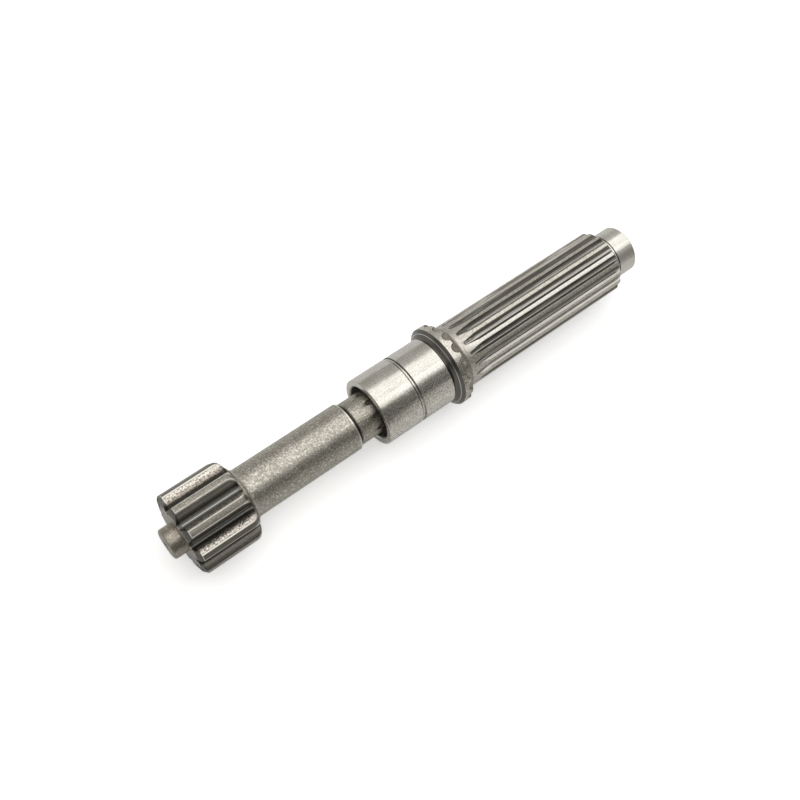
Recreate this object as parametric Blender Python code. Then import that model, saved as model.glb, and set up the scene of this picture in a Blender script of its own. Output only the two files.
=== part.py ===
"""Travel motor shaft: a hobbed motor shaft with a sun gear shaft seated in its hollow end.

All lengths are in metres. Stations run along the shaft axis from the free end of the
gear side stub. The axis lies along X, and the collar rests on the ground at z = 0.
"""
import math

import bpy
import bmesh

# Sun gear shaft, turned sizes
STUB_DIAMETER = 0.0150
STUB_LENGTH = 0.0066
STUB_CHAMFER = 0.0010
GEAR_WIDTH = 0.0317
GEAR_FRONT_FACE_DIAMETER = 0.0322
GEAR_FRONT_CHAMFER = 0.0019
GEAR_BACK_FACE_DIAMETER = 0.0316
GEAR_BACK_CHAMFER = 0.0042
GEAR_HUB_DIAMETER = 0.0296
GEAR_HUB_LENGTH = 0.0010
GEAR_FILLET = 0.0030
STEM_DIAMETER = 0.0246
STEM_LENGTH = 0.0565
STEM_CHAMFER = 0.0007
NECK_GROOVE_WIDTH = 0.0009
NECK_GROOVE_DEPTH = 0.0004
NECK_DIAMETER = 0.0222
NECK_CHAMFER = 0.0012
NECK_SEAT_DEPTH = 0.0270

# Motor shaft, turned sizes
NECK_EXPOSED = 0.0120
JOURNAL_DIAMETER = 0.0350
JOURNAL_1_LENGTH = 0.0195
JOURNAL_2_LENGTH = 0.0177
JOURNAL_GROOVE_WIDTH = 0.0021
JOURNAL_GROOVE_DEPTH = 0.0005
JOURNAL_CHAMFER = 0.0006
COUNTERBORE_DIAMETER = 0.0282
COUNTERBORE_DEPTH = 0.0095
COUNTERBORE_CHAMFER = 0.0006
COLLAR_DIAMETER = 0.0422
COLLAR_WIDTH = 0.0049
COLLAR_CHAMFER = 0.0003
COLLAR_FRONT_FLANK = 0.0032
COLLAR_FRONT_FILLET = 0.0012
COLLAR_BACK_FLANK = 0.0037
COLLAR_BACK_FILLET = 0.0023
SPLINE_DIAMETER = 0.0336
SPLINE_LENGTH = 0.0992
SPLINE_CHAMFER_LENGTH = 0.0017
PILOT_DIAMETER = 0.0250
PILOT_SHOULDER_LENGTH = 0.0022
PILOT_UNDERCUT_WIDTH = 0.0006
PILOT_UNDERCUT_DEPTH = 0.0004
PILOT_LENGTH = 0.0114
PILOT_CHAMFER = 0.0010
RELIEF_BORE_LENGTH = 0.0035
DRILL_POINT_LENGTH = 0.0040

# Centre holes that the shafts were turned and hobbed between
STUB_CENTRE_DIAMETER = 0.0044
PILOT_CENTRE_DIAMETER = 0.0064
CENTRE_DRILL_RATIO = 0.5
CENTRE_CONE_HALF_ANGLE = math.radians(30)

# Teeth of the sun gear
GEAR_TEETH = 10
GEAR_MODULE = 0.0035
GEAR_PRESSURE_ANGLE = math.radians(20)
GEAR_PROFILE_SHIFT = 0.25
GEAR_TIP_DIAMETER = 0.0412
GEAR_ROOT_FILLET = 0.0013
GEAR_PHASE = math.radians(18)

# Hobbed spline between the collar and the pilot
SPLINE_TEETH = 18
SPLINE_MODULE = 0.00175
SPLINE_PRESSURE_ANGLE = math.radians(30)
SPLINE_PROFILE_SHIFT = 0.10
SPLINE_ROOT_DIAMETER = 0.0300
SPLINE_ROOT_FILLET = 0.0004
SPLINE_PHASE = math.radians(5)
SPLINE_PLAIN_LENGTH = 0.0021
SPLINE_HOB_RADIUS = 0.0340
SPLINE_HOB_TIP_WIDTH = 0.0007

# Coupling spline between the neck and the hollow end
COUPLING_TEETH = 10
COUPLING_MODULE = 0.0020
COUPLING_PRESSURE_ANGLE = math.radians(30)
COUPLING_ROOT_DIAMETER = 0.0178
COUPLING_ROOT_FILLET = 0.0004
COUPLING_PHASE = math.radians(26)
COUPLING_PLAIN_LENGTH = 0.0095
COUPLING_HOB_RADIUS = 0.0300
COUPLING_CLEARANCE = 0.0003

# Fineness of the round surfaces
SUN_GEAR_SEGMENTS = 60
MOTOR_SHAFT_SEGMENTS = 60
FILLET_STEPS = 2
FLANK_STEPS = 3
ROUNDING_STEPS = 3
RUNOUT_STEPS = 6
NICK_STEPS = 3
NICK_RINGS = 5
CUTTER_MARGIN = 0.0006
NICK_MARGIN = 0.0001

# Stations along the axis
GEAR_START = STUB_LENGTH
GEAR_END = GEAR_START + GEAR_WIDTH
STEM_START = GEAR_END + GEAR_HUB_LENGTH + GEAR_FILLET
STEM_END = STEM_START + STEM_LENGTH
MOUTH = STEM_END + NECK_EXPOSED
NECK_END = MOUTH + NECK_SEAT_DEPTH
JOURNAL_GROOVE_START = MOUTH + JOURNAL_1_LENGTH
JOURNAL_2_START = JOURNAL_GROOVE_START + JOURNAL_GROOVE_WIDTH
JOURNAL_2_END = JOURNAL_2_START + JOURNAL_2_LENGTH
COLLAR_START = JOURNAL_2_END + COLLAR_FRONT_FLANK
COLLAR_END = COLLAR_START + COLLAR_WIDTH
SPLINE_START = COLLAR_END + COLLAR_BACK_FLANK
SPLINE_END = SPLINE_START + SPLINE_LENGTH
PILOT_STEP = SPLINE_END + SPLINE_CHAMFER_LENGTH
PILOT_START = PILOT_STEP + PILOT_SHOULDER_LENGTH + PILOT_UNDERCUT_WIDTH
TOTAL_LENGTH = PILOT_START + PILOT_LENGTH
AXIS_HEIGHT = max(COLLAR_DIAMETER, JOURNAL_DIAMETER) / 2


def involute(angle):
    return math.tan(angle) - angle


class ToothForm:
    """Angles of one involute tooth, measured at the shaft axis from the tooth's centre."""

    def __init__(self, teeth, module, pressure_angle, profile_shift=0.0):
        pitch_radius = teeth * module / 2
        thickness = module * (math.pi / 2 + 2 * profile_shift * math.tan(pressure_angle))
        self.teeth = teeth
        self.base_radius = pitch_radius * math.cos(pressure_angle)
        self.base_half_angle = thickness / (2 * pitch_radius) + involute(pressure_angle)

    def half_angle(self, radius):
        roll = math.acos(min(1.0, self.base_radius / max(radius, self.base_radius)))
        return self.base_half_angle - involute(roll)

    def space_half_angle(self, radius):
        return math.pi / self.teeth - self.half_angle(radius)


def on_circle(radius, angle):
    """A point in the plane across the axis, with the angle measured from straight up."""
    return (radius * math.sin(angle), radius * math.cos(angle))


def space_between_teeth(form, root_radius, tip_radius, fillet):
    """Outline of the gap that a hob leaves between two teeth, open side up."""
    fillet_top = root_radius + fillet
    outer_radius = tip_radius + CUTTER_MARGIN
    side = []
    for step in range(FLANK_STEPS + 1):
        radius = outer_radius + (fillet_top - outer_radius) * step / FLANK_STEPS
        side.append((radius, form.space_half_angle(radius)))
    foot_angle = form.space_half_angle(fillet_top)
    for step in range(1, FILLET_STEPS):
        turn = math.pi / 2 * step / (FILLET_STEPS - 1)
        radius = fillet_top - fillet * math.sin(turn)
        side.append((radius, foot_angle - fillet / root_radius * (1 - math.cos(turn))))
    right = [on_circle(radius, angle) for radius, angle in side]
    left = [on_circle(radius, -angle) for radius, angle in reversed(side)]
    ridge = on_circle(outer_radius / math.cos(side[0][1]), 0.0)
    return right + [on_circle(root_radius, 0.0)] + left + [ridge]


def dent_of_rolling_tip(floor_radius, top_radius, pitch_radius, half_tip, widest_angle):
    """Outline, across the axis, of the dent that the hob's tips roll into the collar."""
    right = []
    for step in range(NICK_STEPS + 1):
        travel = math.sqrt(top_radius ** 2 - floor_radius ** 2) * (1 - step / NICK_STEPS)
        radius = math.hypot(floor_radius, travel)
        roll = travel / pitch_radius - math.atan2(travel, floor_radius)
        right.append(on_circle(radius, min(roll + half_tip / radius, widest_angle)))
    left = [(-y, z) for y, z in reversed(right)]
    return right + left + [on_circle(top_radius / math.cos(widest_angle), 0.0)]


def slot_for_tooth(form, inner_radius, outer_radius, clearance):
    """Outline of the slot that takes one tooth of the same form with a gap all round."""
    right = []
    for step in range(FLANK_STEPS + 1):
        radius = inner_radius + (outer_radius - inner_radius) * step / FLANK_STEPS
        gap_angle = clearance / (radius * math.cos(COUPLING_PRESSURE_ANGLE))
        angle = form.half_angle(radius) + gap_angle
        right.append(on_circle(radius, angle))
    left = [(-y, z) for y, z in reversed(right)]
    return left + right + [on_circle(outer_radius, 0.0)]


def straight_run(section, start, end):
    """The section repeated at both ends of a straight cut along the axis."""
    return [[(x, y, z) for y, z in section] for x in (start, end)]


def hobbed_run(section, end, full_depth_station, root_radius, hob_radius, lift):
    """A straight cut from the end, then the arc on which the hob climbs out of the shaft."""
    rings = straight_run(section, end, full_depth_station)
    hob_height = root_radius + hob_radius
    climb_angle = math.acos(1 - lift / hob_radius)
    for step in range(1, RUNOUT_STEPS + 1):
        angle = climb_angle * step / RUNOUT_STEPS
        ring = []
        for y, z in section:
            reach = hob_height - z
            height = hob_height - reach * math.cos(angle)
            ring.append((full_depth_station - reach * math.sin(angle), y * height / z, height))
        rings.append(ring)
    return rings


def collar_dent(full_depth_station, root_radius):
    """Rings of the dent that the hob cuts into the collar as it climbs clear of the spline."""
    top_radius = COLLAR_DIAMETER / 2 + CUTTER_MARGIN
    pitch_radius = SPLINE_TEETH * SPLINE_MODULE / 2
    first_angle = math.asin((full_depth_station - SPLINE_START) / SPLINE_HOB_RADIUS)
    lift = COLLAR_DIAMETER / 2 + NICK_MARGIN - root_radius
    last_angle = math.acos(1 - lift / SPLINE_HOB_RADIUS)
    rings = []
    for step in range(NICK_RINGS + 1):
        angle = first_angle + (last_angle - first_angle) * step / NICK_RINGS
        station = full_depth_station - SPLINE_HOB_RADIUS * math.sin(angle)
        floor_radius = root_radius + SPLINE_HOB_RADIUS * (1 - math.cos(angle))
        outline = dent_of_rolling_tip(floor_radius, top_radius, pitch_radius,
                                      SPLINE_HOB_TIP_WIDTH / 2, math.pi / SPLINE_TEETH * 0.94)
        rings.append([(station, y, z) for y, z in outline])
    return rings


def full_depth_after(first_touch, depth, hob_radius):
    """Station where a hob that first touches the surface at one station reaches full depth."""
    return first_touch + math.sqrt(2 * hob_radius * depth - depth ** 2)


def spun_about_axis(ring, angle):
    """A ring of points turned about the shaft axis."""
    cosine, sine = math.cos(angle), math.sin(angle)
    return [(x, y * cosine + z * sine, z * cosine - y * sine) for x, y, z in ring]


def mesh_object(name, bm):
    bmesh.ops.recalc_face_normals(bm, faces=bm.faces)
    mesh = bpy.data.meshes.new(name)
    bm.to_mesh(mesh)
    bm.free()
    shape = bpy.data.objects.new(name, mesh)
    bpy.context.scene.collection.objects.link(shape)
    return shape


def turned_blank(name, profile, segments):
    """A solid of revolution about X from a list of stations and radii that starts on the axis."""
    bm = bmesh.new()
    verts = [bm.verts.new((x, 0.0, radius)) for x, radius in profile]
    edges = [bm.edges.new(pair) for pair in zip(verts, verts[1:])]
    bmesh.ops.spin(bm, geom=verts + edges, cent=(0, 0, 0), axis=(1, 0, 0),
                   angle=2 * math.pi, steps=segments, use_merge=True)
    bmesh.ops.remove_doubles(bm, verts=bm.verts, dist=1e-6)
    return mesh_object(name, bm)


def ring_of_cutters(name, rings, count, first_angle):
    """One closed body lofted through the rings, repeated evenly about the axis."""
    bm = bmesh.new()
    for number in range(count):
        turn = first_angle + 2 * math.pi * number / count
        loops = [[bm.verts.new(point) for point in spun_about_axis(ring, turn)]
                 for ring in rings]
        for near, far in zip(loops, loops[1:]):
            for index in range(len(near)):
                following = (index + 1) % len(near)
                bm.faces.new((near[index], near[following], far[following], far[index]))
        bm.faces.new(loops[0])
        bm.faces.new(loops[-1])
    cutter = mesh_object(name, bm)
    cutter.hide_render = True
    cutter.display_type = 'WIRE'
    return cutter


def cut_away(shape, cutter):
    boolean = shape.modifiers.new(cutter.name, 'BOOLEAN')
    boolean.operation = 'DIFFERENCE'
    boolean.solver = 'EXACT'
    boolean.object = cutter
    cutter.parent = shape


def centre_hole(face_station, inward, diameter):
    """Profile of a centre hole, from the end face to its bottom on the axis."""
    mouth_radius = diameter / 2
    drill_radius = mouth_radius * CENTRE_DRILL_RATIO
    cone_depth = (mouth_radius - drill_radius) / math.tan(CENTRE_CONE_HALF_ANGLE)
    drill_depth = cone_depth + drill_radius * 2
    return [(face_station, mouth_radius),
            (face_station + inward * cone_depth, drill_radius),
            (face_station + inward * drill_depth, drill_radius),
            (face_station + inward * (drill_depth + drill_radius / 2), 0.0)]


def concave_flank(edge, foot, fillet):
    """Straight flank from a collar's edge down into a fillet that ends at the foot."""
    side = math.copysign(1.0, edge[0] - foot[0])
    centre = (foot[0], foot[1] + fillet)
    across, up = abs(edge[0] - centre[0]), edge[1] - centre[1]
    first_angle = math.acos(fillet / math.hypot(across, up)) - math.atan2(up, across)
    points = [edge]
    for step in range(FILLET_STEPS + 1):
        angle = first_angle + (math.pi / 2 - first_angle) * step / FILLET_STEPS
        points.append((centre[0] + side * fillet * math.cos(angle),
                       centre[1] - fillet * math.sin(angle)))
    return points


def sun_gear_profile():
    stub_radius = STUB_DIAMETER / 2
    tip_radius = GEAR_TIP_DIAMETER / 2
    front_radius = GEAR_FRONT_FACE_DIAMETER / 2
    back_radius = GEAR_BACK_FACE_DIAMETER / 2
    hub_radius = GEAR_HUB_DIAMETER / 2
    stem_radius = STEM_DIAMETER / 2
    neck_radius = NECK_DIAMETER / 2
    groove_radius = neck_radius - NECK_GROOVE_DEPTH
    groove_end = STEM_END + NECK_GROOVE_WIDTH
    rounding = []
    for step in range(1, ROUNDING_STEPS + 1):
        turn = math.pi / 2 * step / ROUNDING_STEPS
        rounding.append((GEAR_END - GEAR_BACK_CHAMFER * (1 - math.sin(turn)),
                         back_radius + (tip_radius - back_radius) * math.cos(turn)))
    blend = []
    for step in range(FILLET_STEPS + 1):
        turn = math.pi / 2 * step / FILLET_STEPS
        blend.append((STEM_START - GEAR_FILLET * math.cos(turn),
                      hub_radius - (hub_radius - stem_radius) * math.sin(turn)))
    return centre_hole(0.0, 1, STUB_CENTRE_DIAMETER)[::-1] + [
        (0.0, stub_radius - STUB_CHAMFER),
        (STUB_CHAMFER, stub_radius),
        (GEAR_START, stub_radius),
        (GEAR_START, front_radius),
        (GEAR_START + GEAR_FRONT_CHAMFER / 2, front_radius + (tip_radius - front_radius) * 0.7),
        (GEAR_START + GEAR_FRONT_CHAMFER, tip_radius),
        (GEAR_END - GEAR_BACK_CHAMFER, tip_radius),
    ] + rounding + [
        (GEAR_END, hub_radius),
    ] + blend + [
        (STEM_END - STEM_CHAMFER, stem_radius),
        (STEM_END, stem_radius - STEM_CHAMFER),
        (STEM_END, groove_radius),
        (groove_end, groove_radius),
        (groove_end + NECK_GROOVE_DEPTH, neck_radius),
        (NECK_END - NECK_CHAMFER, neck_radius),
        (NECK_END, neck_radius - NECK_CHAMFER),
        (NECK_END, 0.0),
    ]


def socket_profile():
    """The hollow end, from the drill point on the axis out to the rim."""
    slot_outer_radius = NECK_DIAMETER / 2 + COUPLING_CLEARANCE
    relief_radius = slot_outer_radius + CUTTER_MARGIN
    tooth_tip_radius = COUPLING_ROOT_DIAMETER / 2 + COUPLING_CLEARANCE
    counterbore_radius = COUNTERBORE_DIAMETER / 2
    floor = MOUTH + COUNTERBORE_DEPTH
    relief_start = NECK_END - NECK_CHAMFER
    relief_end = relief_start + RELIEF_BORE_LENGTH
    return [
        (relief_end + DRILL_POINT_LENGTH, 0.0),
        (relief_end, tooth_tip_radius),
        (relief_end, relief_radius),
        (relief_start, relief_radius),
        (relief_start, tooth_tip_radius),
        (floor, tooth_tip_radius),
        (floor, counterbore_radius),
        (MOUTH + COUNTERBORE_CHAMFER, counterbore_radius),
        (MOUTH, counterbore_radius + COUNTERBORE_CHAMFER),
    ]


def motor_shaft_profile():
    journal_radius = JOURNAL_DIAMETER / 2
    groove_radius = journal_radius - JOURNAL_GROOVE_DEPTH
    collar_radius = COLLAR_DIAMETER / 2
    collar_edge_radius = collar_radius - COLLAR_CHAMFER
    spline_radius = SPLINE_DIAMETER / 2
    pilot_radius = PILOT_DIAMETER / 2
    undercut_radius = pilot_radius - PILOT_UNDERCUT_DEPTH
    undercut_start = PILOT_START - PILOT_UNDERCUT_WIDTH
    front_flank = concave_flank((COLLAR_START, collar_edge_radius),
                                (JOURNAL_2_END, groove_radius), COLLAR_FRONT_FILLET)
    back_flank = concave_flank((COLLAR_END, collar_edge_radius),
                               (SPLINE_START, spline_radius), COLLAR_BACK_FILLET)
    return socket_profile() + [
        (MOUTH, journal_radius - JOURNAL_CHAMFER),
        (MOUTH + JOURNAL_CHAMFER, journal_radius),
        (JOURNAL_GROOVE_START, journal_radius),
        (JOURNAL_GROOVE_START + JOURNAL_GROOVE_DEPTH, groove_radius),
        (JOURNAL_2_START - JOURNAL_GROOVE_DEPTH, groove_radius),
        (JOURNAL_2_START, journal_radius),
        (JOURNAL_2_END - JOURNAL_GROOVE_DEPTH, journal_radius),
    ] + front_flank[::-1] + [
        (COLLAR_START + COLLAR_CHAMFER, collar_radius),
        (COLLAR_END - COLLAR_CHAMFER, collar_radius),
    ] + back_flank + [
        (SPLINE_END, spline_radius),
        (PILOT_STEP, SPLINE_ROOT_DIAMETER / 2 - COLLAR_CHAMFER),
        (PILOT_STEP, pilot_radius),
        (undercut_start, pilot_radius),
        (undercut_start, undercut_radius),
        (PILOT_START - PILOT_UNDERCUT_DEPTH / 2, undercut_radius),
        (PILOT_START, pilot_radius),
        (TOTAL_LENGTH - PILOT_CHAMFER, pilot_radius),
        (TOTAL_LENGTH, pilot_radius - PILOT_CHAMFER),
    ] + centre_hole(TOTAL_LENGTH, -1, PILOT_CENTRE_DIAMETER)


def steel(name, colour, roughness):
    material = bpy.data.materials.new(name)
    material.use_nodes = True
    shader = material.node_tree.nodes['Principled BSDF']
    shader.inputs['Base Color'].default_value = (*colour, 1.0)
    shader.inputs['Metallic'].default_value = 1.0
    shader.inputs['Roughness'].default_value = roughness
    material.diffuse_color = (*colour, 1.0)
    return material


def finish_piece(shape, material):
    """Places a piece on the common axis and shades its round faces smooth."""
    shape.location = (-TOTAL_LENGTH / 2, 0.0, AXIS_HEIGHT)
    shape.data.materials.append(material)
    shape.data.shade_smooth()
    shape.data.set_sharp_from_angle(angle=math.radians(30))


def make_sun_gear_shaft(coupling):
    shaft = turned_blank('sun_gear_shaft', sun_gear_profile(), SUN_GEAR_SEGMENTS)

    gear = ToothForm(GEAR_TEETH, GEAR_MODULE, GEAR_PRESSURE_ANGLE, GEAR_PROFILE_SHIFT)
    gear_root = GEAR_MODULE * (GEAR_TEETH / 2 + GEAR_PROFILE_SHIFT - 1.25)
    gap = space_between_teeth(gear, gear_root, GEAR_TIP_DIAMETER / 2, GEAR_ROOT_FILLET)
    rings = straight_run(gap, GEAR_START - CUTTER_MARGIN, GEAR_END + GEAR_HUB_LENGTH / 4)
    first_gap = GEAR_PHASE + math.pi / GEAR_TEETH
    cut_away(shaft, ring_of_cutters('gear_gaps', rings, GEAR_TEETH, first_gap))

    neck_radius = NECK_DIAMETER / 2
    root = COUPLING_ROOT_DIAMETER / 2
    depth = neck_radius - root
    gap = space_between_teeth(coupling, root, neck_radius, COUPLING_ROOT_FILLET)
    full_depth = full_depth_after(STEM_END + COUPLING_PLAIN_LENGTH, depth, COUPLING_HOB_RADIUS)
    rings = hobbed_run(gap, NECK_END + CUTTER_MARGIN, full_depth, root,
                       COUPLING_HOB_RADIUS, depth + CUTTER_MARGIN)
    first_gap = COUPLING_PHASE + math.pi / COUPLING_TEETH
    cut_away(shaft, ring_of_cutters('coupling_gaps', rings, COUPLING_TEETH, first_gap))

    finish_piece(shaft, steel('blasted_steel', (0.36, 0.33, 0.29), 0.45))


def make_motor_shaft(coupling):
    shaft = turned_blank('motor_shaft', motor_shaft_profile(), MOTOR_SHAFT_SEGMENTS)

    spline = ToothForm(SPLINE_TEETH, SPLINE_MODULE, SPLINE_PRESSURE_ANGLE,
                       SPLINE_PROFILE_SHIFT)
    tip_radius = SPLINE_DIAMETER / 2
    root = SPLINE_ROOT_DIAMETER / 2
    gap = space_between_teeth(spline, root, tip_radius, SPLINE_ROOT_FILLET)
    depth = tip_radius - root
    full_depth = full_depth_after(SPLINE_START + SPLINE_PLAIN_LENGTH, depth, SPLINE_HOB_RADIUS)
    rings = hobbed_run(gap, PILOT_START, full_depth, root, SPLINE_HOB_RADIUS,
                       depth + CUTTER_MARGIN)
    first_gap = SPLINE_PHASE + math.pi / SPLINE_TEETH
    cut_away(shaft, ring_of_cutters('spline_gaps', rings, SPLINE_TEETH, first_gap))
    dent = collar_dent(full_depth, root)
    cut_away(shaft, ring_of_cutters('collar_dents', dent, SPLINE_TEETH, first_gap))

    slot_inner = COUPLING_ROOT_DIAMETER / 2
    slot_outer = NECK_DIAMETER / 2 + COUPLING_CLEARANCE
    slot = slot_for_tooth(coupling, slot_inner, slot_outer, COUPLING_CLEARANCE)
    start = MOUTH + COUNTERBORE_DEPTH - CUTTER_MARGIN
    end = NECK_END - NECK_CHAMFER + RELIEF_BORE_LENGTH / 2
    rings = straight_run(slot, start, end)
    cut_away(shaft, ring_of_cutters('coupling_slots', rings, COUPLING_TEETH, COUPLING_PHASE))

    finish_piece(shaft, steel('ground_steel', (0.47, 0.44, 0.40), 0.25))


def main():
    for item in list(bpy.data.objects):
        bpy.data.objects.remove(item, do_unlink=True)
    coupling = ToothForm(COUPLING_TEETH, COUPLING_MODULE, COUPLING_PRESSURE_ANGLE)
    make_sun_gear_shaft(coupling)
    make_motor_shaft(coupling)


main()
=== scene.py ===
"""Travel motor shaft: its finished surfaces, lit and seen as in the photograph.

All lengths are in metres. Stations run along the shaft axis from the free end of the
gear side stub, and turns go about it from the top towards the side away from the camera.
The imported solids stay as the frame, and a finer mesh of each piece, with all its fillets
and edge breaks, is shown in its place.
"""
import math

import bpy
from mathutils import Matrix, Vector


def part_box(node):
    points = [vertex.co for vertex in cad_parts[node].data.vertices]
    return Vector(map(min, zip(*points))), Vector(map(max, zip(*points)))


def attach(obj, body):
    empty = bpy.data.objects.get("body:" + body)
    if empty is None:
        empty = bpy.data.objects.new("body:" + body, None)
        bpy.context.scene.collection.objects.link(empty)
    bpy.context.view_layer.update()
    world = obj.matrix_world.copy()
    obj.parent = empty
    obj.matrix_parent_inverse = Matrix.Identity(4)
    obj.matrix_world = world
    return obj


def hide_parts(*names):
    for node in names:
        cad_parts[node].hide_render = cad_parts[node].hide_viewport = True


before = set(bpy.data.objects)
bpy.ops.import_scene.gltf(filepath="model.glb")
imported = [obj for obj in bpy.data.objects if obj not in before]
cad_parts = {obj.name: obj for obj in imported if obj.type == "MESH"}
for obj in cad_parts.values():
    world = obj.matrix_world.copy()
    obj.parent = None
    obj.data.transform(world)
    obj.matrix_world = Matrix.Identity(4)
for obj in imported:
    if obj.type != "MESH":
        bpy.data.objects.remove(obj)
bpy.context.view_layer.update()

# Where the axis lies in the frame
motor_low, motor_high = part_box("motor_shaft")
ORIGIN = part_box("sun_gear_shaft")[0].x
TOTAL_LENGTH = motor_high.x - ORIGIN
AXIS_HEIGHT = (motor_low.z + motor_high.z) / 2

# Sun gear shaft, turned sizes
STUB_RADIUS = 0.00750
STUB_LENGTH = 0.0066
STUB_CHAMFER = 0.0010
STUB_ROUNDING_ALONG = 0.35
STUB_ROUNDING_DOWN = 0.3
GEAR_WIDTH = 0.0317
GEAR_TIP_RADIUS = 0.02060
GEAR_FRONT_RADIUS = 0.0161
GEAR_FRONT_CHAMFER = 0.0019
GEAR_FRONT_ROUNDING = 0.7
GEAR_BACK_RADIUS = 0.0158
GEAR_BACK_CHAMFER = 0.0042
HUB_RADIUS = 0.0148
HUB_LENGTH = 0.0010
HUB_FILLET = 0.0030
STEM_RADIUS = 0.0123
STEM_LENGTH = 0.0565
STEM_CHAMFER = 0.0007
NECK_GROOVE_WIDTH = 0.0009
NECK_GROOVE_DEPTH = 0.0004
NECK_RADIUS = 0.0111
NECK_CHAMFER = 0.0012
NECK_EXPOSED = 0.0120
NECK_SEAT_DEPTH = 0.0270

# Motor shaft, turned sizes
JOURNAL_RADIUS = 0.0175
JOURNAL_1_LENGTH = 0.0195
JOURNAL_2_LENGTH = 0.0177
JOURNAL_GROOVE_WIDTH = 0.0021
JOURNAL_GROOVE_DEPTH = 0.0005
JOURNAL_CHAMFER = 0.0006
COUNTERBORE_RADIUS = 0.0141
COUNTERBORE_DEPTH = 0.0095
COUNTERBORE_CHAMFER = 0.0006
COLLAR_RADIUS = 0.0211
COLLAR_WIDTH = 0.0049
COLLAR_CHAMFER = 0.0003
COLLAR_FRONT_FLANK = 0.0032
COLLAR_FRONT_FILLET = 0.0012
COLLAR_BACK_FLANK = 0.0037
COLLAR_BACK_FILLET = 0.0023
SPLINE_RADIUS = 0.0168
SPLINE_LENGTH = 0.0992
SPLINE_CHAMFER_LENGTH = 0.0017
PILOT_RADIUS = 0.0125
PILOT_SHOULDER_LENGTH = 0.0022
PILOT_UNDERCUT_WIDTH = 0.0006
PILOT_UNDERCUT_DEPTH = 0.0004
PILOT_CHAMFER = 0.0010
RELIEF_BORE_LENGTH = 0.0035
DRILL_POINT_LENGTH = 0.0040

# Centre holes
STUB_CENTRE_RADIUS = 0.0022
PILOT_CENTRE_RADIUS = 0.0032
CENTRE_CONE_HALF_ANGLE = math.radians(30)

# Sun gear teeth
GEAR_TEETH = 10
GEAR_MODULE = 0.0035
GEAR_PRESSURE_ANGLE = math.radians(20)
GEAR_PROFILE_SHIFT = 0.25
GEAR_ROOT_FILLET = 0.0013
GEAR_ROOT_DEPTH_IN_MODULES = 1.25
GEAR_ROOT_RADIUS = GEAR_MODULE * (GEAR_TEETH / 2 + GEAR_PROFILE_SHIFT
                                  - GEAR_ROOT_DEPTH_IN_MODULES)
GEAR_PHASE = math.radians(18)
GEAR_EDGE_BREAK = 0.00022

# Hobbed spline of the motor shaft
SPLINE_TEETH = 18
SPLINE_MODULE = 0.00175
SPLINE_PRESSURE_ANGLE = math.radians(30)
SPLINE_PROFILE_SHIFT = 0.10
SPLINE_ROOT_RADIUS = 0.0150
SPLINE_ROOT_FILLET = 0.0004
SPLINE_PHASE = math.radians(5)
SPLINE_PLAIN_LENGTH = 0.0021
SPLINE_HOB_RADIUS = 0.0340
SPLINE_HOB_TIP_WIDTH = 0.0007
COLLAR_DENT_SHARE_OF_PITCH = 0.94
SPLINE_EDGE_BREAK = 0.00028

# Coupling spline between the neck and the hollow end
COUPLING_TEETH = 10
COUPLING_MODULE = 0.0020
COUPLING_PRESSURE_ANGLE = math.radians(30)
COUPLING_ROOT_RADIUS = 0.0089
COUPLING_ROOT_FILLET = 0.0004
COUPLING_PHASE = math.radians(26)
COUPLING_PLAIN_LENGTH = 0.0095
COUPLING_HOB_RADIUS = 0.0300
COUPLING_CLEARANCE = 0.0003
COUPLING_EDGE_BREAK = 0.00010

# Fineness of the meshes and margins of their cutters
LATHE_STEPS = 180
FILLET_STEPS = 6
FLANK_STEPS = 7
RUNOUT_STEPS = 14
DENT_STEPS = 6
DENT_RINGS = 12
CUTTER_MARGIN = 0.0006
GEAR_CUTTER_OVERRUN = HUB_LENGTH / 4
DENT_CUTTER_OVERRUN = CUTTER_MARGIN / 6
PEN_SIZE = 0.00015
MERGE_DISTANCE = 1e-6
RING_MERGE_DISTANCE = 1e-7
EDGE_BREAK = 0.00015
SHARP_ANGLE = math.radians(32)

# Stations along the axis
GEAR_TIP_START = STUB_LENGTH + GEAR_FRONT_CHAMFER
GEAR_END = STUB_LENGTH + GEAR_WIDTH
STEM_START = GEAR_END + HUB_LENGTH + HUB_FILLET
STEM_END = STEM_START + STEM_LENGTH
MOUTH = STEM_END + NECK_EXPOSED
NECK_END = MOUTH + NECK_SEAT_DEPTH
JOURNAL_GROOVE_START = MOUTH + JOURNAL_1_LENGTH
JOURNAL_2_START = JOURNAL_GROOVE_START + JOURNAL_GROOVE_WIDTH
JOURNAL_2_END = JOURNAL_2_START + JOURNAL_2_LENGTH
COLLAR_START = JOURNAL_2_END + COLLAR_FRONT_FLANK
COLLAR_END = COLLAR_START + COLLAR_WIDTH
SPLINE_START = COLLAR_END + COLLAR_BACK_FLANK
SPLINE_END = SPLINE_START + SPLINE_LENGTH
PILOT_STEP = SPLINE_END + SPLINE_CHAMFER_LENGTH
PILOT_START = PILOT_STEP + PILOT_SHOULDER_LENGTH + PILOT_UNDERCUT_WIDTH


# Drawn shapes: a pen point is extruded from point to point, then turned or swept

def in_frame(station, height, turn=0.0):
    """The point at a station and a distance from the axis, turned about the axis from the top."""
    return Vector((ORIGIN + station, height * math.sin(turn),
                   AXIS_HEIGHT + height * math.cos(turn)))


def pen_down(name, point):
    """A new mesh of a single point, left in edit mode to draw from."""
    bpy.ops.object.select_all(action='DESELECT')
    bpy.ops.mesh.primitive_plane_add(size=PEN_SIZE, location=point)
    pen = bpy.context.object
    pen.name = pen.data.name = name
    bpy.ops.object.transform_apply(location=True, rotation=False, scale=False)
    bpy.ops.object.mode_set(mode='EDIT')
    bpy.ops.mesh.merge(type='CENTER')
    return pen


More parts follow.
